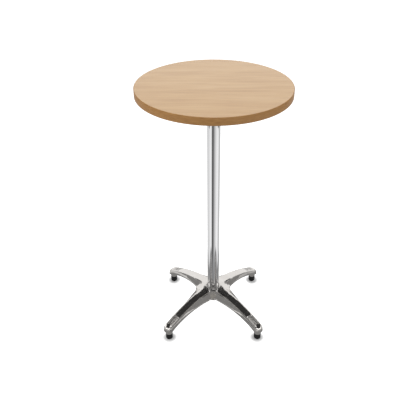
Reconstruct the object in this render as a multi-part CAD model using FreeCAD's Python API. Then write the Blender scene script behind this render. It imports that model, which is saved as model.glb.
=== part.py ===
import FreeCAD, Part
import math
import os
from FreeCAD import Vector

# Standing meeting table: round top, tubular column, cast four-arm base on levelling feet.
# Millimetres. The origin is on the floor under the column, +Z is up, and the four arms
# point along the diagonals between X and Y.

# ---- Top ----
overall_height = 1125.0
top_diameter = 600.0
face_thickness = 1.0
core_thickness = 28.0
backing_thickness = 1.0
band_thickness = 2.0
band_rounding = 1.5

# ---- Mounting plate, its ring and its screws ----
plate_diameter = 280.0
plate_thickness = 5.0
plate_edge_chamfer = 1.5
socket_length = 25.0
socket_wall = 5.0
screw_count = 8
screw_circle = 240.0
screw_diameter = 5.0
screw_length = 25.0
screw_head_diameter = 10.0
screw_head_height = 3.2
screw_head_flat = 6.0
screw_recess_length = 4.5
screw_recess_width = 2.2
screw_recess_depth = 1.6
screw_hole_gap = 0.5

# ---- Column ----
column_diameter = 54.0
column_wall = 2.0
column_fit = 0.2

# ---- Tie rod and what clamps it ----
rod_diameter = 12.0
rod_hole_gap = 0.5
rod_end_stand = 3.0
rod_end_chamfer = 1.0
rod_end_headroom = 3.0
nut_width = 19.0
nut_height = 10.0
nut_chamfer_angle = 30.0
top_washer_diameter = 30.0
top_washer_thickness = 2.5
pocket_gap = 4.0
clamp_washer_diameter = 50.0
clamp_washer_thickness = 5.0
spring_washer_diameter = 21.0
spring_washer_thickness = 3.0
spring_washer_slot = 2.0
thread_fit = 0.05

# ---- Base casting ----
foot_spacing = 400.0
crown_height = 141.5
crown_depth = 20.5
arm_tip_height = 74.0
arm_tip_depth = 24.0
arm_top_half_width = 20.0
arm_low_half_width = 24.0
flare_width = 35.0
flare_length = 218.0
flare_to_foot = 18.0
tip_overhang = 18.5
tip_corner_radius = 16.0
rim_rounding = 5.0
lower_rounding = 1.5
level_face_tilt = 0.7
corner_radius = 45.0
hub_station_count = 8
arm_station_count = 8
skin_thickness = 6.0
side_wall = 5.0
seat_margin = 1.5
web_radius = 82.0
web_edge = 2.5
hub_core_radius = 33.0
hub_core_depth = 17.0
spigot_height = 18.0
spigot_chamfer = 1.5
rib_thickness = 4.0
rib_recess = 4.0
rib_places = [95.0, 150.0, 205.0]
tread_count = 7
tread_pitch = 6.0
tread_width = 2.6
tread_depth = 1.3
tread_margin = 0.5
tread_to_foot = 8.0

# ---- Levelling feet ----
glide_diameter = 31.0
glide_height = 32.0
glide_contact_diameter = 17.0
glide_top_rounding = 1.5
glide_stop_gap = 0.5
key_hole_diameter = 9.0
boss_bottom_radius = 16.0
boss_top_radius = 17.5
boss_length = 27.0
insert_diameter = 15.0
insert_length = 26.0
stud_diameter = 10.0
stud_engagement = 24.0
stud_tip_chamfer = 1.0
stud_head_diameter = 18.0
stud_head_height = 8.0
stud_head_level = 8.0
key_width = 6.0
key_depth = 5.0
swivel_gap = 0.3

# ---- Levels and places that follow from these ----
UP = Vector(0, 0, 1)
largest_share = 0.9  # how much of what bounds it a rounding, or the run of an arc, may take up
top_thickness = face_thickness + core_thickness + backing_thickness
core_radius = top_diameter / 2 - band_thickness
core_top = overall_height - face_thickness
core_bottom = core_top - core_thickness
top_underside = overall_height - top_thickness
plate_underside = top_underside - plate_thickness
column_radius = column_diameter / 2
column_bore = column_radius - column_wall
rod_radius = rod_diameter / 2
rod_hole_radius = rod_radius + rod_hole_gap
rod_top = top_underside + top_washer_thickness + nut_height + rod_end_stand
nut_corner_radius = nut_width / math.sqrt(3)
pocket_radius = max(top_washer_diameter / 2, nut_corner_radius) + pocket_gap
arm_angles = [45.0, 135.0, 225.0, 315.0]
foot_reach = foot_spacing / math.sqrt(2)
tip_reach = foot_reach + tip_overhang
boss_bottom = glide_height + glide_stop_gap
stud_radius = stud_diameter / 2
stud_top = boss_bottom + stud_engagement


def arc_radius(run, drop):
    """Radius of an arc that starts level and falls by drop over run."""
    return (run * run + drop * drop) / (2 * drop)


def arc_drop(run, radius):
    """Fall of an arc that starts level, after a run along it."""
    reach = max(run, 0.0)
    return radius - math.sqrt(radius * radius - reach * reach)


arm_top_radius = arc_radius(foot_reach, crown_height - arm_tip_height)
rim_crown = crown_height - crown_depth
rim_radius = arc_radius(foot_reach, rim_crown - (arm_tip_height - arm_tip_depth))
flare_radius = arc_radius(flare_length, flare_width)
seat_radius = column_radius + seat_margin
hub_height = crown_height - arc_drop(seat_radius, arm_top_radius)
clamp_face = hub_height - hub_core_depth
clamp_washer_bottom = clamp_face - clamp_washer_thickness
spring_washer_bottom = clamp_washer_bottom - spring_washer_thickness
bottom_nut_bottom = spring_washer_bottom - nut_height
rod_bottom = bottom_nut_bottom - rod_end_stand


# ---- Shared shapes ----
def disc(radius, bottom, height, x=0.0, y=0.0):
    return Part.makeCylinder(radius, height, Vector(x, y, bottom))


def ring(outer, inner, bottom, height, x=0.0, y=0.0):
    return disc(outer, bottom, height, x, y).cut(disc(inner, bottom, height, x, y))


def revolved(points, x=0.0, y=0.0):
    """Solid of revolution about the upright line at (x, y) from (radius, height) points."""
    corners = [Vector(radius, 0, height) for radius, height in points]
    outline = Part.makePolygon(corners + corners[:1])
    solid = Part.Face(outline).revolve(Vector(0, 0, 0), UP, 360)
    solid.translate(Vector(x, y, 0))
    return solid


def turned(shape, angle):
    copy = shape.copy()
    copy.rotate(Vector(0, 0, 0), UP, angle)
    return copy


def around(shape, angles):
    return [turned(shape, angle) for angle in angles]


def hexagon(width, bottom, height):
    """Six-sided prism, width across flats."""
    corner = Vector(width / math.sqrt(3), 0, bottom)
    turns = [FreeCAD.Rotation(UP, 60 * i) for i in range(7)]
    outline = Part.makePolygon([turn.multVec(corner) for turn in turns])
    return Part.Face(outline).extrude(Vector(0, 0, height))


def nut(width, height, bore_radius, bottom):
    """Hexagon nut with its two ends chamfered round the corners."""
    corner = width / math.sqrt(3)
    prism = hexagon(width, bottom, height)
    drop = (corner - width / 2) * math.tan(math.radians(nut_chamfer_angle))
    turning = revolved([
        (0, bottom),
        (width / 2, bottom),
        (corner, bottom + drop),
        (corner, bottom + height - drop),
        (width / 2, bottom + height),
        (0, bottom + height),
    ])
    return prism.common(turning).cut(disc(bore_radius, bottom, height))


def rod_nut(bottom):
    return nut(nut_width, nut_height, rod_radius + thread_fit, bottom)


# ---- Top ----
def make_top_laminate():
    return disc(core_radius, core_top, face_thickness)


def screw_places():
    step = 360.0 / screw_count
    radius = screw_circle / 2
    angles = [math.radians(step * (i + 0.5)) for i in range(screw_count)]
    return [(radius * math.cos(angle), radius * math.sin(angle)) for angle in angles]


def screw_bores(bottom, height, radius):
    return Part.makeCompound([disc(radius, bottom, height, x, y) for x, y in screw_places()])


def make_board_core():
    core = disc(core_radius, core_bottom, core_thickness)
    pocket_top = rod_top + rod_end_headroom
    core = core.cut(disc(pocket_radius, core_bottom, pocket_top - core_bottom))
    screw_tip = plate_underside + screw_length
    return core.cut(screw_bores(core_bottom, screw_tip - core_bottom + 1, screw_diameter / 2 + thread_fit))


def make_backing_laminate():
    layer = ring(core_radius, pocket_radius, top_underside, backing_thickness)
    return layer.cut(screw_bores(top_underside, backing_thickness, screw_diameter / 2 + thread_fit))


def make_edge_band():
    band = ring(top_diameter / 2, core_radius, top_underside, top_thickness)
    rims = [edge for edge in band.Edges
            if isinstance(edge.Curve, Part.Circle) and edge.Curve.Radius > core_radius + band_thickness / 2]
    return band.makeFillet(min(band_rounding, largest_share * band_thickness), rims)


# ---- Mounting plate with its ring, and the screws that hold it ----
def make_mounting_plate():
    radius = plate_diameter / 2
    plate = revolved([
        (rod_hole_radius, plate_underside),
        (radius - plate_edge_chamfer, plate_underside),
        (radius, plate_underside + plate_edge_chamfer),
        (radius, top_underside),
        (rod_hole_radius, top_underside),
    ])
    return plate.cut(screw_bores(plate_underside, plate_thickness, screw_diameter / 2 + screw_hole_gap))


def make_plate_socket():
    outer = column_bore - column_fit
    bottom = plate_underside - socket_length
    return revolved([
        (outer - socket_wall, bottom),
        (outer - column_wall, bottom),
        (outer, bottom + column_wall),
        (outer, plate_underside),
        (outer - socket_wall, plate_underside),
    ])


def make_plate_screws():
    """Pan-head wood screws with a cross recess, heads against the plate's underside."""
    head_radius = screw_head_diameter / 2
    shank_radius = screw_diameter / 2
    head_bottom = plate_underside - screw_head_height
    tip = plate_underside + screw_length
    screw = revolved([
        (0, head_bottom),
        (screw_head_flat / 2, head_bottom),
        (head_radius, head_bottom + screw_head_height / 2),
        (head_radius, plate_underside),
        (shank_radius, plate_underside),
        (shank_radius, tip - shank_radius * 2),
        (0, tip),
    ])
    recess = (screw_recess_length, screw_recess_width)
    for length, width in (recess, recess[::-1]):
        slot = Part.makeBox(length, width, screw_recess_depth, Vector(-length / 2, -width / 2, head_bottom))
        screw = screw.cut(slot)
    copies = []
    for x, y in screw_places():
        copy = screw.copy()
        copy.translate(Vector(x, y, 0))
        copies.append(copy)
    return Part.makeCompound(copies)


# ---- Column and the tie rod inside it ----
def make_column_tube():
    return ring(column_radius, column_bore, hub_height, plate_underside - hub_height)


def make_tie_rod():
    return revolved([
        (0, rod_bottom),
        (rod_radius - rod_end_chamfer, rod_bottom),
        (rod_radius, rod_bottom + rod_end_chamfer),
        (rod_radius, rod_top - rod_end_chamfer),
        (rod_radius - rod_end_chamfer, rod_top),
        (0, rod_top),
    ])


def make_top_washer():
    return ring(top_washer_diameter / 2, rod_hole_radius, top_underside, top_washer_thickness)


def make_top_nut():
    return rod_nut(top_underside + top_washer_thickness)


def make_clamp_washer():
    return ring(clamp_washer_diameter / 2, rod_hole_radius, clamp_washer_bottom, clamp_washer_thickness)


def make_spring_washer():
    outer = spring_washer_diameter / 2
    washer = ring(outer, rod_hole_radius, spring_washer_bottom, spring_washer_thickness)
    corner = Vector(0, -spring_washer_slot / 2, spring_washer_bottom)
    return washer.cut(Part.makeBox(outer, spring_washer_slot, spring_washer_thickness, corner))


def make_bottom_nut():
    return rod_nut(bottom_nut_bottom)


# ---- Base casting ----
# Each arm is a loft of trapeziums set square to it. Its top line and its lower rim fall on arcs
# that start level at the column's axis, and the rim flares towards the hub on a third arc.
# Round corners join the tops of neighbouring arms, and a low cone fills them in below.
def top_height(reach):
    return crown_height - arc_drop(reach, arm_top_radius)


def top_slope(reach):
    return math.asin(reach / arm_top_radius)


def rim_height(reach):
    return rim_crown - arc_drop(reach, rim_radius)


def top_half_width(reach):
    """Half the top's width: constant, but for the round corners between the arms at the hub."""
    run = arm_top_half_width + corner_radius - reach
    return arm_top_half_width + arc_drop(min(run, largest_share * corner_radius), corner_radius)


def rim_half_width(reach):
    return arm_low_half_width + arc_drop(foot_reach - flare_to_foot - reach, flare_radius)


def trapezium(reach, upper_half, upper, lower_half, lower):
    corners = [
        Vector(reach, -upper_half, upper),
        Vector(reach, upper_half, upper),
        Vector(reach, lower_half, lower),
        Vector(reach, -lower_half, lower),
    ]
    return Part.makePolygon(corners + corners[:1])


def arm_section(reach):
    return trapezium(reach, top_half_width(reach), top_height(reach), rim_half_width(reach), rim_height(reach))


def hollow_section(reach):
    """Inside of the arm's channel: the section less the skin and the flanks' thickness, and
    carried on well below the rim."""
    upper = top_height(reach)
    lower = rim_height(reach)
    spread = rim_half_width(reach) - top_half_width(reach)
    flank = math.hypot(spread, upper - lower)
    level_wall = side_wall * flank / (upper - lower)

    def half_width(level):
        return top_half_width(reach) - level_wall + (upper - level) * spread / (upper - lower)

    ceiling = upper - skin_thickness
    floor = lower - crown_depth
    return trapezium(reach, half_width(ceiling), ceiling, half_width(floor), floor)


def stations(end):
    """Places along an arm for its sections, closer together where its outline turns at the hub."""
    turn = arm_top_half_width + corner_radius
    near = [turn * i / hub_station_count for i in range(hub_station_count)]
    return near + [turn + (end - turn) * i / arm_station_count for i in range(arm_station_count + 1)]


def tilt(edge, face):
    """Vertical part of a face's normal at the middle of one of its edges."""
    middle = edge.valueAt((edge.FirstParameter + edge.LastParameter) / 2)
    u, v = face.Surface.parameter(middle)
    return face.normalAt(u, v).z


def rim_edges(arm, side):
    """Outer edges of an arm's top (side 1) or underside (side -1), without the hub end's."""
    rims = []
    for edge in arm.Edges:
        tilts = [side * tilt(edge, face) for face in arm.ancestorsOfType(edge, Part.Face)]
        if max(tilts) > level_face_tilt > min(tilts) and edge.BoundBox.XMax > arm_top_half_width:
            rims.append(edge)
    return rims


def make_arm():
    """One arm along +X, from the column's axis to its rounded tip."""
    arm = Part.makeLoft([arm_section(reach) for reach in stations(tip_reach)], True, False)
    corners = [edge for edge in arm.Edges
               if edge.BoundBox.XMin > tip_reach - 1 and abs(edge.CenterOfMass.y) > arm_top_half_width / 2]
    arm = arm.makeFillet(tip_corner_radius, corners)
    arm = arm.makeFillet(rim_rounding, rim_edges(arm, 1))
    return arm.makeFillet(lower_rounding, rim_edges(arm, -1))


def make_hollow():
    """Inside of one arm's channel, from the column's axis to the foot."""
    return Part.makeLoft([hollow_section(reach) for reach in stations(foot_reach)], True, False)


def star(arm):
    """Four copies of an arm, each kept to its own quarter and joined where the quarters meet."""
    reach = 2 * tip_reach
    corners = [Vector(0, 0, 0), Vector(reach, -reach, 0), Vector(reach, reach, 0), Vector(0, 0, 0)]
    quarter = Part.Face(Part.makePolygon(corners)).extrude(UP * overall_height)
    first, *others = around(arm.common(quarter), arm_angles)
    return first.multiFuse(others)


def corner_web():
    """Low cone that fills the corners between the arms."""
    inner = (arm_top_half_width + corner_radius) * math.sqrt(2) - corner_radius
    rim = rim_height(web_radius / math.sqrt(2))
    return revolved([
        (0, rim),
        (web_radius, rim),
        (web_radius, rim + web_edge),
        (inner, top_height(inner)),
        (0, top_height(inner)),
    ])


def foot_places():
    half = foot_spacing / 2
    return [(half, half), (-half, half), (-half, -half), (half, -half)]


def foot_bosses(carried_up):
    """Tapered bosses over the feet, carried up by a straight length."""
    bosses = []
    for x, y in foot_places():
        cone = Part.makeCone(boss_bottom_radius, boss_top_radius, boss_length, Vector(x, y, boss_bottom))
        if carried_up > 0:
            cone = cone.fuse(disc(boss_top_radius, boss_bottom + boss_length, carried_up, x, y))
        bosses.append(cone)
    return bosses


def arm_ribs():
    """Cross ribs that stand between an arm's flanks, a little short of its lower rim."""
    ribs = []
    for reach in rib_places:
        half_length = rim_half_width(reach)
        foot = rim_height(reach) + rib_recess
        corner = Vector(reach, -half_length, foot)
        ribs += around(Part.makeBox(rib_thickness, 2 * half_length, crown_height - foot, corner), arm_angles)
    return ribs


def tread_grooves():
    """Shallow grooves across the top of each arm near its tip, cut square to the slope."""
    half_length = arm_top_half_width - rim_rounding - tread_margin
    grooves = []
    for i in range(tread_count):
        reach = foot_reach - tread_to_foot - i * tread_pitch
        slope = top_slope(reach)
        along = Vector(math.cos(slope), 0, -math.sin(slope)) * (tread_width / 2)
        across = Vector(math.sin(slope), 0, math.cos(slope)) * tread_depth
        middle = Vector(reach, -half_length, top_height(reach))
        low_out = middle + along - across
        low_in = middle - along - across
        high_in = middle - along + across
        high_out = middle + along + across
        section = Part.Face(Part.makePolygon([low_out, low_in, high_in, high_out, low_out]))
        grooves += around(section.extrude(Vector(0, 2 * half_length, 0)), arm_angles)
    return grooves


def make_base_casting():
    seat = disc(seat_radius, clamp_face, hub_core_depth)
    body = star(make_arm()).multiFuse(foot_bosses(0.0) + [corner_web(), seat])
    core = disc(hub_core_radius, clamp_face, hub_core_depth)
    cavity = star(make_hollow()).cut(foot_bosses(crown_height) + arm_ribs() + [core])
    spigot_radius = column_bore - column_fit
    spigot_top = hub_height + spigot_height
    spigot = revolved([
        (0, clamp_face),
        (spigot_radius, clamp_face),
        (spigot_radius, spigot_top - spigot_chamfer),
        (spigot_radius - spigot_chamfer, spigot_top),
        (0, spigot_top),
    ])
    core_below = disc(hub_core_radius, clamp_face, hub_core_depth - skin_thickness)
    crown_facing = disc(seat_radius, hub_height, crown_height)
    core_facing = disc(hub_core_radius, 0, clamp_face)
    body = body.cut([cavity, crown_facing, core_facing]).multiFuse([core_below, spigot])
    bores = [disc(rod_hole_radius, clamp_face, hub_core_depth + spigot_height)]
    bores += [disc(insert_diameter / 2, boss_bottom, insert_length, x, y) for x, y in foot_places()]
    return body.cut(bores + tread_grooves()).removeSplitter()


# ---- Levelling feet ----
def make_foot_insert(x, y):
    return ring(insert_diameter / 2, stud_radius + thread_fit, boss_bottom, insert_length, x, y)


def make_foot_stud(x, y):
    """Threaded stud whose round head turns inside the glide and takes a hexagon key from below."""
    head_radius = stud_head_diameter / 2
    head_top = stud_head_level + stud_head_height
    stud = revolved([
        (0, stud_head_level),
        (head_radius, stud_head_level),
        (head_radius, head_top),
        (stud_radius, head_top),
        (stud_radius, stud_top - stud_tip_chamfer),
        (stud_radius - stud_tip_chamfer, stud_top),
        (0, stud_top),
    ], x, y)
    key_socket = hexagon(key_width, stud_head_level, key_depth)
    key_socket.translate(Vector(x, y, 0))
    return stud.cut(key_socket)


def make_foot_glide(x, y):
    """Plastic glide with a bowl-shaped sole and a pocket that holds the stud's head."""
    outer = glide_diameter / 2
    body = disc(outer, 0, glide_height, x, y)
    rims = [edge for edge in body.Edges if isinstance(edge.Curve, Part.Circle)]
    sole = [edge for edge in rims if edge.Curve.Center.z < glide_height / 2]
    body = body.makeFillet(outer - glide_contact_diameter / 2, sole)
    rims = [edge for edge in body.Edges if isinstance(edge.Curve, Part.Circle)]
    shoulder = [edge for edge in rims if abs(edge.Curve.Center.z - glide_height) < swivel_gap]
    body = body.makeFillet(glide_top_rounding, shoulder)
    head_room = stud_head_height + swivel_gap
    pocket = disc(stud_head_diameter / 2 + swivel_gap, stud_head_level, head_room, x, y)
    neck = disc(stud_radius + swivel_gap, stud_head_level, glide_height, x, y)
    key_hole = disc(key_hole_diameter / 2, 0, stud_head_level, x, y)
    return body.cut([pocket, neck, key_hole])


# ---- All pieces ----
def all_pieces():
    pieces = {
        "top_laminate": make_top_laminate(),
        "board_core": make_board_core(),
        "backing_laminate": make_backing_laminate(),
        "edge_band": make_edge_band(),
        "mounting_plate": make_mounting_plate(),
        "plate_socket": make_plate_socket(),
        "plate_screws": make_plate_screws(),
        "column_tube": make_column_tube(),
        "tie_rod": make_tie_rod(),
        "tie_rod_top_nut": make_top_nut(),
        "tie_rod_top_washer": make_top_washer(),
        "base_casting": make_base_casting(),
        "clamp_washer": make_clamp_washer(),
        "spring_washer": make_spring_washer(),
        "tie_rod_bottom_nut": make_bottom_nut(),
    }
    for number, (x, y) in enumerate(foot_places(), start=1):
        pieces[f"foot_insert_{number}"] = make_foot_insert(x, y)
        pieces[f"foot_stud_{number}"] = make_foot_stud(x, y)
        pieces[f"foot_glide_{number}"] = make_foot_glide(x, y)
    return pieces


os.makedirs("parts", exist_ok=True)
for name, shape in all_pieces().items():
    shape.exportStep(f"parts/{name}.step")
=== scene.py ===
import math

import bpy
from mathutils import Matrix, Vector


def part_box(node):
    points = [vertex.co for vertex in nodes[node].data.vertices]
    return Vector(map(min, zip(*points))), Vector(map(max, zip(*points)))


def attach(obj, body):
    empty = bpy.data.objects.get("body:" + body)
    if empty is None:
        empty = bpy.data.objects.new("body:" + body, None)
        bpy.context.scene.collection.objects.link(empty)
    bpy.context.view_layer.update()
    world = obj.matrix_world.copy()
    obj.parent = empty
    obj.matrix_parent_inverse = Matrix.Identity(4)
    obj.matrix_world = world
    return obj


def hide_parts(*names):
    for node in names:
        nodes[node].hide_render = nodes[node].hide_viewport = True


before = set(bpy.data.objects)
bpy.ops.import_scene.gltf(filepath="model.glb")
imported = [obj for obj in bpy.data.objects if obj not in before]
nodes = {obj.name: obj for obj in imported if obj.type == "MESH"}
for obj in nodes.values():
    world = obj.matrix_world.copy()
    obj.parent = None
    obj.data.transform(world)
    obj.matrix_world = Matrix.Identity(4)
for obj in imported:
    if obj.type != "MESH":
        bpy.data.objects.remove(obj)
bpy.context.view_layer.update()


# ---- Board core ----
# The round top starts as a 28 mm particle board, sawn round, with a pocket and screw holes
# drilled in its underside. Once it is faced and edged, none of it shows.


def colour(red, green, blue):
    """A screen colour, 0 to 255, as the linear values that a shader takes."""

    def linear(level):
        level = level / 255
        return level / 12.92 if level <= 0.04045 else ((level + 0.055) / 1.055) ** 2.4

    return (linear(red), linear(green), linear(blue), 1.0)


def add_node(tree, kind, place, **settings):
    """A node of this kind in the tree, with the named settings or input values."""
    made = tree.nodes.new(kind)
    made.location = (place[0] * 200, place[1] * 200)
    for name, value in settings.items():
        if hasattr(made, name):
            setattr(made, name, value)
        else:
            made.inputs[name.replace("_", " ")].default_value = value
    return made


def ramp(tree, place, source, stops):
    """A colour ramp on a value, with its stops as pairs of position and colour."""
    made = add_node(tree, "ShaderNodeValToRGB", place)
    steps = made.color_ramp.elements
    while len(steps) < len(stops):
        steps.new(0.5)
    for step, (position, tint) in zip(steps, stops):
        step.position = position
        step.color = tint
    tree.links.new(source, made.inputs["Fac"])
    return made.outputs["Color"]


def grey(level):
    """A neutral ramp colour of this linear level."""
    return (level, level, level, 1.0)


def new_finish(name, metallic=0.0):
    """A material with its Principled shader and the object's own coordinates."""
    finish = bpy.data.materials.new(name)
    finish.use_nodes = True
    tree = finish.node_tree
    shader = tree.nodes["Principled BSDF"]
    shader.inputs["Metallic"].default_value = metallic
    place = add_node(tree, "ShaderNodeTexCoord", (-7, 0)).outputs["Object"]
    return finish, tree, shader, place


def stretched(tree, place, spot, size):
    """Object coordinates scaled apart along the three axes."""
    mapping = add_node(tree, "ShaderNodeMapping", spot)
    mapping.inputs["Scale"].default_value = size
    tree.links.new(place, mapping.inputs["Vector"])
    return mapping.outputs["Vector"]


def noise(tree, spot, vector, scale, detail, rough=0.5):
    """The value of a noise pattern read at these coordinates."""
    made = add_node(tree, "ShaderNodeTexNoise", spot, Scale=scale, Detail=detail, Roughness=rough)
    tree.links.new(vector, made.inputs["Vector"])
    return made.outputs["Fac"]


def bump(tree, shader, height, depth):
    """Feeds a height pattern of this depth in metres to the shader's normal."""
    made = add_node(tree, "ShaderNodeBump", (-1, -2), Distance=depth)
    tree.links.new(height, made.inputs["Height"])
    tree.links.new(made.outputs["Normal"], shader.inputs["Normal"])
    return made


def finish_nodes(finish, *names):
    """Gives CAD nodes this material."""
    for name in names:
        slots = nodes[name].data.materials
        slots.clear()
        slots.append(finish)


chip_finish, tree, shader, place = new_finish("particle_board")
shader.inputs["Roughness"].default_value = 0.85
flakes = add_node(tree, "ShaderNodeTexVoronoi", (-4, 1), Scale=450.0)
tree.links.new(stretched(tree, place, (-5, 1), size=(0.4, 1.0, 1.6)), flakes.inputs["Vector"])
flake_shade = ramp(
    tree,
    (-3, 1),
    flakes.outputs["Distance"],
    [(0.0, colour(205, 178, 132)), (0.5, colour(178, 146, 98)), (1.0, colour(128, 96, 58))],
)
tree.links.new(flake_shade, shader.inputs["Base Color"])
bump(tree, shader, flakes.outputs["Distance"], depth=0.0003)
finish_nodes(chip_finish, "board_core")


# ---- Face and backing laminate ----
# A beech-coloured laminate is pressed on the top face. Its straight grain runs from left to
# right. The underside carries a plain backing laminate, so that the board stays flat.


def wood_grain_group():
    """Straight grain along X: a soft band value, a fine streak value and short fleck marks."""
    group = bpy.data.node_groups.new("wood_grain", "ShaderNodeTree")
    face = group.interface
    face.new_socket("Vector", in_out="INPUT", socket_type="NodeSocketVector")
    face.new_socket("Band Scale", in_out="INPUT", socket_type="NodeSocketFloat")
    face.new_socket("Streak Scale", in_out="INPUT", socket_type="NodeSocketFloat")
    face.new_socket("Bands", in_out="OUTPUT", socket_type="NodeSocketFloat")
    face.new_socket("Streaks", in_out="OUTPUT", socket_type="NodeSocketFloat")
    face.new_socket("Flecks", in_out="OUTPUT", socket_type="NodeSocketFloat")
    enter = add_node(group, "NodeGroupInput", (-8, 0))
    leave = add_node(group, "NodeGroupOutput", (2, 0))
    vector = enter.outputs["Vector"]

    band_place = stretched(group, vector, (-6, 2), size=(0.12, 1.0, 1.0))
    bands = add_node(group, "ShaderNodeTexNoise", (-4, 2), Detail=4.0, Roughness=0.55)
    group.links.new(band_place, bands.inputs["Vector"])
    group.links.new(enter.outputs["Band Scale"], bands.inputs["Scale"])
    group.links.new(bands.outputs["Fac"], leave.inputs["Bands"])

    streak_place = stretched(group, vector, (-6, 0), size=(0.03, 1.0, 1.0))
    streaks = add_node(group, "ShaderNodeTexNoise", (-4, 0), Detail=5.0, Roughness=0.65)
    group.links.new(streak_place, streaks.inputs["Vector"])
    group.links.new(enter.outputs["Streak Scale"], streaks.inputs["Scale"])
    group.links.new(streaks.outputs["Fac"], leave.inputs["Streaks"])

    fleck_place = stretched(group, vector, (-6, -2), size=(0.16, 1.0, 1.0))
    flecks = add_node(group, "ShaderNodeTexVoronoi", (-4, -2), Scale=620.0)
    group.links.new(fleck_place, flecks.inputs["Vector"])
    marks = ramp(
        group, (-2, -2), flecks.outputs["Distance"], [(0.05, grey(1.0)), (0.22, grey(0.0))]
    )
    group.links.new(marks, leave.inputs["Flecks"])
    return group


wood_grain = wood_grain_group()


def lay_grain(tree, place, spot, band_scale, streak_scale):
    """The wood grain, placed in a material with scales of its own."""
    made = add_node(tree, "ShaderNodeGroup", spot)
    made.node_tree = wood_grain
    made.inputs["Band Scale"].default_value = band_scale
    made.inputs["Streak Scale"].default_value = streak_scale
    tree.links.new(place, made.inputs["Vector"])
    return made


def blend_colours(tree, spot, amount, first, second, kind="MIX"):
    """A mix of two colours, or of a colour and a pattern, by an amount that varies."""
    made = add_node(tree, "ShaderNodeMix", spot, data_type="RGBA", blend_type=kind)
    sockets = [s for s in made.inputs if s.type == "RGBA"]
    for value, socket in zip((first, second), sockets):
        if isinstance(value, tuple):
            socket.default_value = value
        else:
            tree.links.new(value, socket)
    if isinstance(amount, float):
        made.inputs["Factor"].default_value = amount
    else:
        tree.links.new(amount, made.inputs["Factor"])
    return [s for s in made.outputs if s.type == "RGBA"][0]


def scaled(tree, spot, value, low, high):
    """A 0 to 1 pattern brought into a narrower range."""
    made = add_node(tree, "ShaderNodeMapRange", spot)
    made.inputs["To Min"].default_value = low
    made.inputs["To Max"].default_value = high
    tree.links.new(value, made.inputs["Value"])
    return made.outputs["Result"]


def vary_roughness(tree, shader, pattern, low, high):
    """Lets a 0 to 1 pattern move the roughness between these two values."""
    tree.links.new(scaled(tree, (-2, -1), pattern, low, high), shader.inputs["Roughness"])


beech_face, tree, shader, place = new_finish("beech_laminate")
grain = lay_grain(tree, place, (-5, 0), band_scale=26.0, streak_scale=160.0)
ground = ramp(
    tree,
    (-3, 2),
    grain.outputs["Bands"],
    [(0.30, colour(198, 157, 105)), (0.50, colour(206, 167, 115)), (0.70, colour(211, 174, 124))],
)
streak_tint = ramp(
    tree,
    (-3, 0),
    grain.outputs["Streaks"],
    [(0.36, colour(236, 228, 220)), (0.55, colour(255, 255, 255))],
)
streak_strength = 0.8
with_streaks = blend_colours(tree, (-2, 1), streak_strength, ground, streak_tint, "MULTIPLY")
fleck_amount = scaled(tree, (-3, -2), grain.outputs["Flecks"], low=0.0, high=0.22)
faced = blend_colours(tree, (-1, 1), fleck_amount, with_streaks, colour(168, 122, 80))
tree.links.new(faced, shader.inputs["Base Color"])
vary_roughness(tree, shader, grain.outputs["Streaks"], low=0.36, high=0.50)
bump(tree, shader, grain.outputs["Streaks"], depth=0.00004)
shader.inputs["Coat Weight"].default_value = 0.75
shader.inputs["Coat Roughness"].default_value = 0.25
finish_nodes(beech_face, "top_laminate")

backing_finish, tree, shader, place = new_finish("backing_laminate")
mottle = noise(tree, (-4, 0), place, scale=380.0, detail=4.0, rough=0.6)
backing_shade = ramp(
    tree, (-2, 0), mottle, [(0.35, colour(168, 166, 162)), (0.65, colour(178, 176, 172))]
)
tree.links.new(backing_shade, shader.inputs["Base Color"])
vary_roughness(tree, shader, mottle, low=0.5, high=0.62)
bump(tree, shader, mottle, depth=0.00008)
finish_nodes(backing_finish, "backing_laminate")


# ---- Edge band ----
# A 2 mm band of beech-coloured edging is glued round the board and trimmed flush, then its two
# outer edges are rounded over. Its grain runs round the top.
band_radius = 0.300
band_thickness = 0.002
band_low = 1.095
band_high = 1.125
band_rounding = 0.0015
band_facets = 256
merge_distance = 0.00001
ring_smoothing = math.radians(40)


def turn_ring(name, inner, outer, low, high, rounding, facets, outer_only=False):
    """A turned ring or tube: its cross-section as a flat strip, edges rounded, spun round Z."""
    bpy.ops.object.select_all(action="DESELECT")
    middle = ((inner + outer) / 2, 0, (low + high) / 2)
    bpy.ops.mesh.primitive_plane_add(size=1, location=middle, rotation=(math.pi / 2, 0, 0))
    strip = bpy.context.object
    strip.name = name
    strip.data.name = name
    strip.scale = (outer - inner, high - low, 1)
    bpy.ops.object.transform_apply(location=True, rotation=True, scale=True)
    bpy.ops.object.mode_set(mode="EDIT")
    bpy.ops.mesh.select_mode(type="VERT")
    bpy.ops.mesh.select_all(action="DESELECT")
    bpy.ops.object.mode_set(mode="OBJECT")
    for corner in strip.data.vertices:
        corner.select = corner.co.x > middle[0] or not outer_only
    bpy.ops.object.mode_set(mode="EDIT")
    bpy.ops.mesh.bevel(offset=rounding, segments=4, affect="VERTICES")
    bpy.ops.mesh.select_all(action="SELECT")
    bpy.ops.mesh.delete(type="ONLY_FACE")
    bpy.ops.mesh.select_all(action="SELECT")
    bpy.ops.mesh.spin(steps=facets, angle=2 * math.pi, center=(0, 0, 0), axis=(0, 0, 1))
    bpy.ops.mesh.select_all(action="SELECT")
    bpy.ops.mesh.remove_doubles(threshold=merge_distance)
    bpy.ops.mesh.normals_make_consistent(inside=False)
    bpy.ops.object.mode_set(mode="OBJECT")
    bpy.ops.object.shade_smooth_by_angle(angle=ring_smoothing)
    return strip


def fit_piece(piece, finish, body, stands_for):
    """Gives a piece its finish, its body, and the CAD node that it stands for."""
    piece.data.materials.clear()
    piece.data.materials.append(finish)
    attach(piece, body)
    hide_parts(stands_for)


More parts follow.
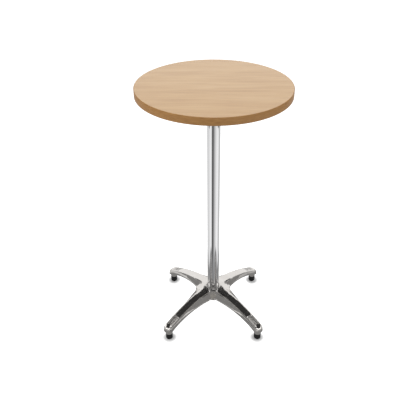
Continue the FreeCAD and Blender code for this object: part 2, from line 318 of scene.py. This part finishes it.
edge_band = turn_ring(
    "edge_band_rounded",
    band_radius - band_thickness,
    band_radius,
    band_low,
    band_high,
    band_rounding,
    band_facets,
    outer_only=True,
)

beech_edge, tree, shader, place = new_finish("beech_edging")
around = stretched(tree, place, (-6, 0), size=(1.0, 1.0, 9.0))
edge_lines = noise(tree, (-4, 1), around, scale=40.0, detail=5.0, rough=0.6)
edge_ground = ramp(
    tree,
    (-3, 1),
    edge_lines,
    [(0.35, colour(156, 110, 58)), (0.5, colour(167, 121, 67)), (0.68, colour(178, 132, 76))],
)
tree.links.new(edge_ground, shader.inputs["Base Color"])
vary_roughness(tree, shader, edge_lines, low=0.38, high=0.55)
bump(tree, shader, edge_lines, depth=0.00005)
fit_piece(edge_band, beech_edge, "table", "edge_band")


# ---- Mounting plate, centring ring and screws ----
# A round steel plate, powder coated grey, is screwed under the top with eight pan-head screws.
# A turned ring welded below it centres the column.
plate_coat, tree, shader, place = new_finish("grey_powder_coat")
orange_peel = noise(tree, (-4, 0), place, scale=900.0, detail=2.0)
coat_shade = ramp(
    tree, (-2, 1), orange_peel, [(0.3, colour(150, 152, 154)), (0.7, colour(162, 164, 166))]
)
tree.links.new(coat_shade, shader.inputs["Base Color"])
vary_roughness(tree, shader, orange_peel, low=0.42, high=0.6)
bump(tree, shader, orange_peel, depth=0.00012)
finish_nodes(plate_coat, "mounting_plate", "plate_socket")

zinc_steel, tree, shader, place = new_finish("zinc_plated_steel", metallic=1.0)
spangle = noise(tree, (-4, 1), place, scale=260.0, detail=4.0, rough=0.6)
along_rod = stretched(tree, place, (-5, -1), size=(1.0, 1.0, 0.1))
scuffs = noise(tree, (-4, -1), along_rod, scale=1500.0, detail=2.0)
zinc_shade = ramp(
    tree, (-2, 1), spangle, [(0.3, colour(176, 178, 184)), (0.7, colour(204, 205, 208))]
)
tree.links.new(zinc_shade, shader.inputs["Base Color"])
vary_roughness(tree, shader, spangle, low=0.26, high=0.46)
bump(tree, shader, scuffs, depth=0.00003)
finish_nodes(zinc_steel, "plate_screws")


# ---- Column ----
# A 54 mm steel tube, polished and chromed, stands on the base's spigot and reaches up round the
# centring ring.
column_radius = 0.027
column_wall = 0.002
column_edge_rounding = 0.0003
column_facets = 128
column_low, column_high = (corner.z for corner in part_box("column_tube"))

column = turn_ring(
    "chromed_column",
    column_radius - column_wall,
    column_radius,
    column_low,
    column_high,
    column_edge_rounding,
    column_facets,
)

chrome, tree, shader, place = new_finish("polished_chrome", metallic=1.0)
haze = noise(tree, (-4, 1), place, scale=7.0, detail=3.0)
along_tube = stretched(tree, place, (-5, -1), size=(1.0, 1.0, 0.02))
polish_lines = noise(tree, (-4, -1), along_tube, scale=900.0, detail=2.0)
chrome_shade = ramp(
    tree, (-2, 1), haze, [(0.3, colour(236, 236, 237)), (0.7, colour(241, 241, 242))]
)
tree.links.new(chrome_shade, shader.inputs["Base Color"])
vary_roughness(tree, shader, haze, low=0.035, high=0.08)
bump(tree, shader, polish_lines, depth=0.000002)
fit_piece(column, chrome, "table", "column_tube")


# ---- Tie rod ----
# One threaded rod runs down inside the column from the plate to the hub, with a nut and a washer
# on the plate. It pulls top, column and base together.
finish_nodes(zinc_steel, "tie_rod", "tie_rod_top_nut", "tie_rod_top_washer")


# ---- Base casting ----
# One aluminium casting: four arms that arch down from the hub to the feet, hollow underneath, with
# tread grooves near the tips. It is ground and polished, so that every edge but the treads is soft.
arm_way = math.sqrt(0.5)
treads_begin = 0.224
treads_full = 0.232
edge_softness = 0.009
cast_smoothing = math.radians(30)

bpy.ops.object.select_all(action="DESELECT")
source = nodes["base_casting"]
source.select_set(True)
bpy.context.view_layer.objects.active = source
bpy.ops.object.duplicate()
casting = bpy.context.object
for key in list(casting.keys()):
    if key.startswith("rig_"):
        del casting[key]
casting.name = "polished_casting"
casting.data.name = "polished_casting"
bpy.ops.object.mode_set(mode="EDIT")
bpy.ops.mesh.select_all(action="SELECT")
bpy.ops.mesh.remove_doubles(threshold=merge_distance)
bpy.ops.object.mode_set(mode="OBJECT")
bpy.ops.object.shade_smooth_by_angle(angle=cast_smoothing)

aluminium, tree, shader, place = new_finish("polished_aluminium", metallic=1.0)
cloud = noise(tree, (-4, 1), place, scale=22.0, detail=4.0, rough=0.55)
fine = noise(tree, (-4, -1), place, scale=700.0, detail=3.0, rough=0.6)
cast_shade = ramp(
    tree, (-2, 1), cloud, [(0.3, colour(219, 215, 211)), (0.7, colour(230, 227, 223))]
)
tree.links.new(cast_shade, shader.inputs["Base Color"])
vary_roughness(tree, shader, cloud, low=0.05, high=0.12)
polish = bump(tree, shader, fine, depth=0.00001)
soft_edges = add_node(tree, "ShaderNodeBevel", (-5, -4), Radius=edge_softness)
soft_edges.samples = 8
sharp = add_node(tree, "ShaderNodeNewGeometry", (-5, -5)).outputs["Normal"]
absolute = add_node(tree, "ShaderNodeVectorMath", (-6, -6), operation="ABSOLUTE")
tree.links.new(place, absolute.inputs[0])
along = add_node(tree, "ShaderNodeVectorMath", (-5, -6), operation="DOT_PRODUCT")
along.inputs[1].default_value = (arm_way, arm_way, 0)
tree.links.new(absolute.outputs[0], along.inputs[0])
on_treads = add_node(tree, "ShaderNodeMapRange", (-4, -6))
on_treads.inputs["From Min"].default_value = treads_begin
on_treads.inputs["From Max"].default_value = treads_full
tree.links.new(along.outputs["Value"], on_treads.inputs["Value"])
smoothed = add_node(tree, "ShaderNodeMix", (-3, -4), data_type="VECTOR")
off_treads_side, on_treads_side = [s for s in smoothed.inputs if s.type == "VECTOR"][-2:]
tree.links.new(on_treads.outputs["Result"], smoothed.inputs["Factor"])
tree.links.new(soft_edges.outputs["Normal"], off_treads_side)
tree.links.new(sharp, on_treads_side)
shaped = [s for s in smoothed.outputs if s.type == "VECTOR"][0]
tree.links.new(shaped, polish.inputs["Normal"])
fit_piece(casting, aluminium, "table", "base_casting")


# ---- Clamp under the hub ----
# A thick washer, a split spring washer and a nut close the tie rod in the hollow under the hub.
# They are zinc-plated steel, and the nut is tightened from below.
finish_nodes(zinc_steel, "clamp_washer", "spring_washer", "tie_rod_bottom_nut")


# ---- Levelling feet ----
# Each arm tip has a threaded steel insert. A stud turns in it, zinc plated as the insert is, and
# carries a black moulded glide that stands on the floor.
glide_plastic, tree, shader, place = new_finish("black_glide_plastic")
moulded = noise(tree, (-4, 0), place, scale=1300.0, detail=3.0, rough=0.6)
rubbed = noise(tree, (-4, -2), place, scale=60.0, detail=4.0, rough=0.6)
plastic_shade = ramp(
    tree, (-2, 1), rubbed, [(0.35, colour(9, 9, 10)), (0.7, colour(17, 17, 18))]
)
tree.links.new(plastic_shade, shader.inputs["Base Color"])
vary_roughness(tree, shader, rubbed, low=0.36, high=0.55)
bump(tree, shader, moulded, depth=0.00006)
for corner in range(1, 5):
    finish_nodes(zinc_steel, f"foot_insert_{corner}", f"foot_stud_{corner}")
    finish_nodes(glide_plastic, f"foot_glide_{corner}")


# ---- Floor ----
# A plain white floor that glows white to the camera, except that the glow fades out close to each
# foot: a painted shadow ring there, over the real shadow. To polished metal the floor is a painted
# reflection instead: painted shade, grey, under the table and near the feet, and farther out painted
# light and dark by bearing, in degrees from the front towards the right.
floor_width = 60
foot_place = 0.2
shadow_inner = 0.018
shadow_outer = 0.041
glow_level = 0.75
near_centre = (0, 0.05, 0)
near_edge = 0.27
far_edge = 0.34
near_foot_edge = 0.12
far_foot_edge = 0.18
# Painted shade that reflections see under the table and near the feet; farther out, painted light and
# dark by bearing.
painted_shade_grey = grey(0.27)
painted_reflection_greys = (
    (-180, 0.72),
    (-134, 0.68),
    (-100, 0.75),
    (-76, 0.84),
    (-55, 0.97),
    (-39, 0.85),
    (-31, 0.50),
    (-25, 0.08),
    (-14, 0.08),
    (0, 0.26),
    (18, 0.57),
    (36, 0.80),
    (55, 0.96),
    (78, 1.0),
    (92, 0.8),
    (101, 0.5),
    (112, 0.5),
    (135, 0.85),
    (180, 0.72),
)

bpy.ops.object.select_all(action="DESELECT")
bpy.ops.mesh.primitive_plane_add(size=floor_width, location=(0, 0, 0))
floor = bpy.context.object
floor.name = "floor"
floor_finish, tree, shader, spot = new_finish("white_floor")
shader.inputs["Base Color"].default_value = grey(0.86)
shader.inputs["Roughness"].default_value = 0.7
shader.inputs["Specular IOR Level"].default_value = 0.0
shader.inputs["Emission Color"].default_value = grey(1.0)
quarter = add_node(tree, "ShaderNodeVectorMath", (-6, 4), operation="ABSOLUTE")
tree.links.new(spot, quarter.inputs[0])
from_foot = add_node(tree, "ShaderNodeVectorMath", (-5, 4), operation="DISTANCE")
from_foot.inputs[1].default_value = (foot_place, foot_place, 0)
tree.links.new(quarter.outputs[0], from_foot.inputs[0])
# The glow fades out near each foot: a painted shadow ring over the real shadow there.
off_foot = add_node(tree, "ShaderNodeMapRange", (-4, 4), interpolation_type="SMOOTHSTEP")
off_foot.inputs["From Min"].default_value = shadow_inner
off_foot.inputs["From Max"].default_value = shadow_outer
off_foot.inputs["To Max"].default_value = glow_level
tree.links.new(from_foot.outputs["Value"], off_foot.inputs["Value"])
rays = add_node(tree, "ShaderNodeLightPath", (-3, 3))
glow = add_node(tree, "ShaderNodeMath", (-1, 2), operation="MULTIPLY")
tree.links.new(rays.outputs["Is Camera Ray"], glow.inputs[0])
tree.links.new(off_foot.outputs["Result"], glow.inputs[1])
tree.links.new(glow.outputs[0], shader.inputs["Emission Strength"])

parts = add_node(tree, "ShaderNodeSeparateXYZ", (-7, -1))
tree.links.new(spot, parts.inputs[0])
forward = add_node(tree, "ShaderNodeMath", (-6, -1), operation="MULTIPLY")
forward.inputs[1].default_value = -1.0
tree.links.new(parts.outputs["Y"], forward.inputs[0])
bearing = add_node(tree, "ShaderNodeMath", (-5, -1), operation="ARCTAN2")
tree.links.new(parts.outputs["X"], bearing.inputs[0])
tree.links.new(forward.outputs[0], bearing.inputs[1])
turn = add_node(tree, "ShaderNodeMapRange", (-4, -1))
turn.inputs["From Min"].default_value = -math.pi
turn.inputs["From Max"].default_value = math.pi
tree.links.new(bearing.outputs[0], turn.inputs["Value"])
far_floor = ramp(
    tree,
    (-3, -1),
    turn.outputs["Result"],
    [(0.5 + degrees / 360, grey(level)) for degrees, level in painted_reflection_greys],
)
reach = add_node(tree, "ShaderNodeVectorMath", (-6, -3), operation="DISTANCE")
reach.inputs[1].default_value = near_centre
tree.links.new(spot, reach.inputs[0])
beyond_feet = add_node(tree, "ShaderNodeMapRange", (-4, -3))
beyond_feet.inputs["From Min"].default_value = near_edge
beyond_feet.inputs["From Max"].default_value = far_edge
tree.links.new(reach.outputs["Value"], beyond_feet.inputs["Value"])
clear_of_foot = add_node(tree, "ShaderNodeMapRange", (-4, -4))
clear_of_foot.inputs["From Min"].default_value = near_foot_edge
clear_of_foot.inputs["From Max"].default_value = far_foot_edge
tree.links.new(from_foot.outputs["Value"], clear_of_foot.inputs["Value"])
open_floor = add_node(tree, "ShaderNodeMath", (-3, -3), operation="MINIMUM")
tree.links.new(beyond_feet.outputs["Result"], open_floor.inputs[0])
tree.links.new(clear_of_foot.outputs["Result"], open_floor.inputs[1])
painted_reflection_tone = blend_colours(tree, (-2, -2), open_floor.outputs[0], painted_shade_grey, far_floor)
# Reflections see the floor as this glow: a painted reflection, not the lit floor.
mirrored = add_node(tree, "ShaderNodeEmission", (-1, -2))
tree.links.new(painted_reflection_tone, mirrored.inputs["Color"])
either = add_node(tree, "ShaderNodeMixShader", (2, 0))
tree.links.new(rays.outputs["Is Glossy Ray"], either.inputs[0])
tree.links.new(shader.outputs[0], either.inputs[1])
tree.links.new(mirrored.outputs[0], either.inputs[2])
tree.links.new(either.outputs[0], tree.nodes["Material Output"].inputs["Surface"])
floor.data.materials.append(floor_finish)


# ---- Room and cards ----
# The room is plain white all round. Reflections alone also see glowing sheets hung in it, painted
# reflections: dark ones in front and overhead, grey ones overhead and at both sides, and a painted
# highlight panel high on each side.
room_light = 0.55

world = bpy.data.worlds.new("studio")
bpy.context.scene.world = world
world.use_nodes = True
tree = world.node_tree
background = tree.nodes["Background"]
background.inputs["Color"].default_value = grey(1.0)
rays = add_node(tree, "ShaderNodeLightPath", (-4, 0))
seen = add_node(tree, "ShaderNodeMath", (-2, 0), operation="MAXIMUM")
tree.links.new(rays.outputs["Is Camera Ray"], seen.inputs[0])
tree.links.new(rays.outputs["Is Glossy Ray"], seen.inputs[1])
strength = add_node(tree, "ShaderNodeMapRange", (-1, 0))
strength.inputs["To Min"].default_value = room_light
strength.inputs["To Max"].default_value = 1.0
tree.links.new(seen.outputs[0], strength.inputs["Value"])
tree.links.new(strength.outputs["Result"], background.inputs["Strength"])


def hang_reflection_card(name, place, width, depth, turn, level):
    """A glowing sheet that only reflections see: a painted reflection, dark, grey or bright by its
    level.
    """
    bpy.ops.object.select_all(action="DESELECT")
    bpy.ops.mesh.primitive_plane_add(size=1, location=place, rotation=turn)
    card = bpy.context.object
    card.scale = (width, depth, 1)
    card.name = name
    card.visible_camera = False
    card.visible_diffuse = False
    card.visible_shadow = False
    card.visible_transmission = False
    card_finish = bpy.data.materials.new(name)
    card_finish.use_nodes = True
    tree = card_finish.node_tree
    tree.nodes.clear()
    glowing = add_node(tree, "ShaderNodeEmission", (0, 0))
    glowing.inputs["Color"].default_value = grey(level)
    end = add_node(tree, "ShaderNodeOutputMaterial", (1, 0))
    tree.links.new(glowing.outputs[0], end.inputs["Surface"])
    card.data.materials.append(card_finish)


across = (math.pi / 2, 0, 0)
overhead = (math.pi, 0, 0)
sideways = (0, math.pi / 2, 0)
reflection_sheet_grey = 0.25
# Each sheet glows and only reflections see it: painted reflections, dark and grey, and on the high
# panels a painted highlight.
hang_reflection_card("painted_dark_reflection_front", (0, -3.2, 3.0), 6.0, 1.5, across, level=0.06)
hang_reflection_card("painted_dark_reflection_middle", (0, 2.2, 3.98), 1.1, 3.2, overhead, level=0.02)
hang_reflection_card("painted_dark_reflection_overhead", (0, 1.75, 4.0), 8.0, 4.1, overhead, level=0.04)
hang_reflection_card("painted_grey_reflection_overhead", (0, -0.2, 4.05), 8.0, 8.0, overhead, reflection_sheet_grey)
for side in (-1, 1):
    hang_reflection_card(f"painted_highlight_panel_{side}", (2.9 * side, 0.35, 3.25), 1.25, 1.4, sideways, level=1.6)
    hang_reflection_card(f"painted_grey_reflection_high_{side}", (3.95 * side, -1.0, 3.2), 1.8, 6.4, sideways, reflection_sheet_grey)
    hang_reflection_card(f"painted_grey_reflection_side_{side}", (2.8 * side, -1.0, 1.28), 2.56, 6.0, sideways, reflection_sheet_grey)


# ---- Lamps ----
# Two soft lamps hang in front, to the left and the right, the left one stronger. A small one
# behind lights the far side of the top. None of them shows in the polished metal.


def hang_lamp(name, place, aim, size, power):
    """A soft square lamp, aimed at a point and left out of reflections."""
    bpy.ops.object.light_add(type="AREA", location=place)
    lamp = bpy.context.object
    lamp.name = name
    lamp.data.size = size
    lamp.data.energy = power
    lamp.rotation_mode = "QUATERNION"
    lamp.rotation_quaternion = (Vector(aim) - Vector(place)).to_track_quat("-Z", "Y")
    lamp.visible_glossy = False


hang_lamp("lamp_left", (-2.4, -1.2, 2.9), aim=(0, 0, 0.7), size=1.8, power=42)
hang_lamp("lamp_right", (2.2, -0.6, 3.0), aim=(0, 0, 0.7), size=1.8, power=26)
hang_lamp("lamp_back", (0, 1.7, 2.2), aim=(0, 0.3, 1.1), size=1.2, power=9)


# ---- Camera ----
# It stands in front of the table, above the top, and looks down on it. The view settings are
# plain.
camera_place = (-0.015, -1.941, 1.848)
camera_dip = math.radians(33.46)
sensor_width = 36
picture_pixels = 420
focal_pixels = 540.5
nearest_seen = 0.01

bpy.ops.object.camera_add(location=camera_place)
camera = bpy.context.object
camera.name = "camera"
camera.rotation_euler = (math.pi / 2 - camera_dip, 0, 0)
camera.data.sensor_width = sensor_width
camera.data.lens = focal_pixels / picture_pixels * sensor_width
camera.data.clip_start = nearest_seen
bpy.context.scene.camera = camera

bpy.context.scene.view_settings.view_transform = "Standard"
